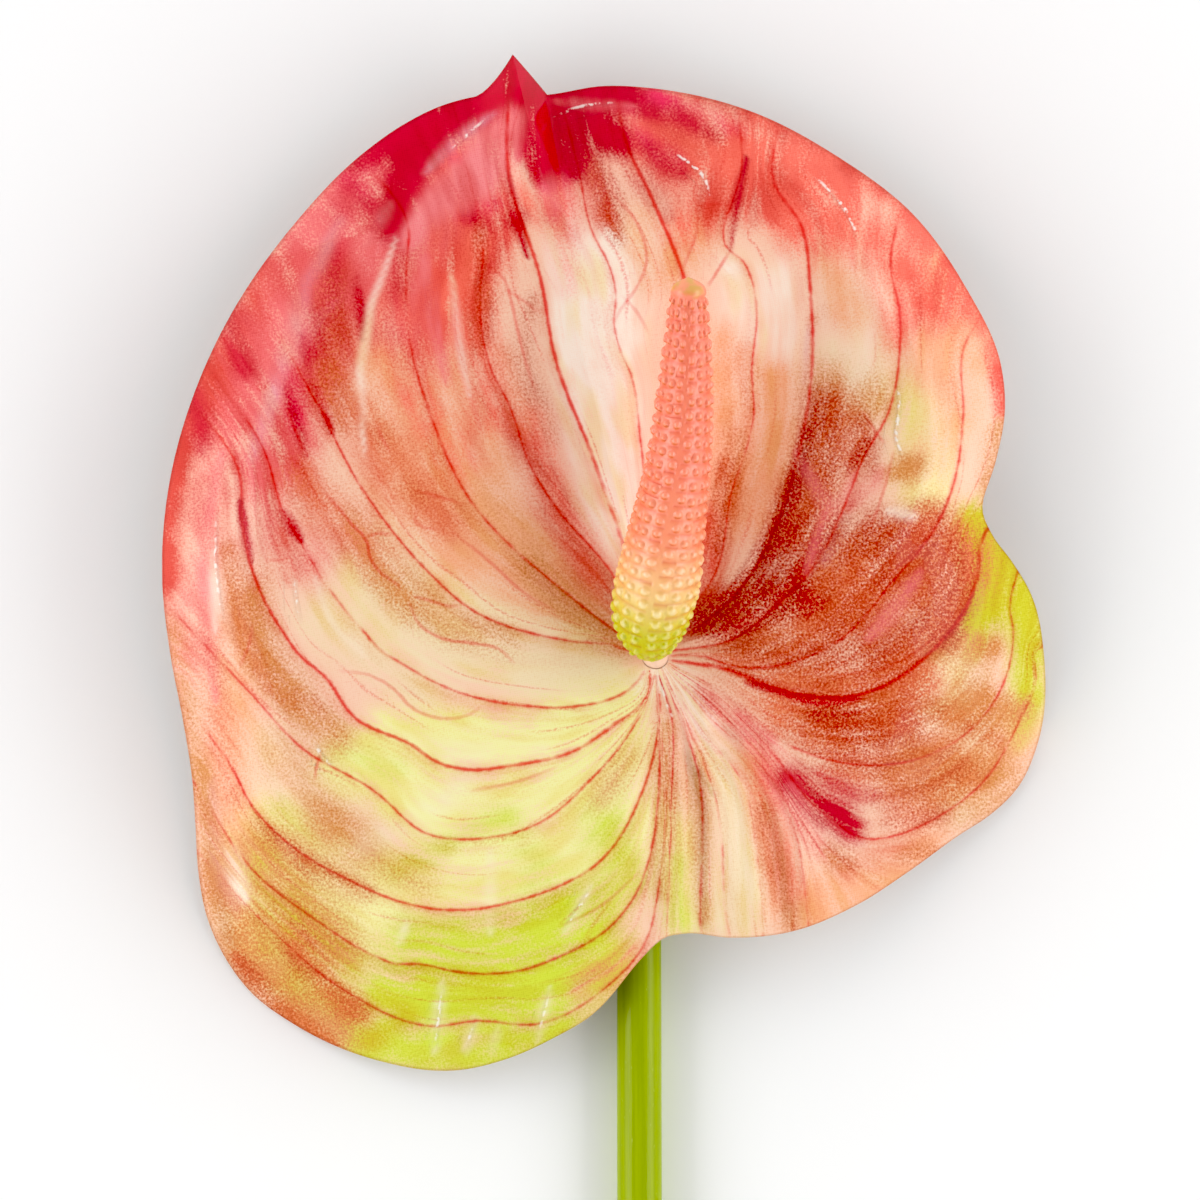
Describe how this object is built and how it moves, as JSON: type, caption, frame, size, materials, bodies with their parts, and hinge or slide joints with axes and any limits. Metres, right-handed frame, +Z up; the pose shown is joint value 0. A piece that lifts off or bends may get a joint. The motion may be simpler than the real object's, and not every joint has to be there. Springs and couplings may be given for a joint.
{
  "type": "cut anthurium stem",
  "caption": "Cut anthurium flower lying on its back: a domed heart-shaped spathe with pleats and a cusp, a bumpy leaning spadix and a long smooth stalk with a slanted cut end.",
  "frame": {"origin": "middle of the flower's plan box, on the surface that it lies on", "axes": "+Z up, out of the face of the spathe; +Y along the stalk towards the tip of the spathe; +X to the right of the flower seen from above with its tip away from the viewer"},
  "size_m": [0.129, 0.4876, 0.0451],
  "materials": {
    "stalk": "satin",
    "spathe": "gloss",
    "spadix": "satin"
  },
  "bodies": {
    "root": {"peduncle": "stalk", "spathe": "spathe", "spadix": "spadix"}
  },
  "joints": []
}
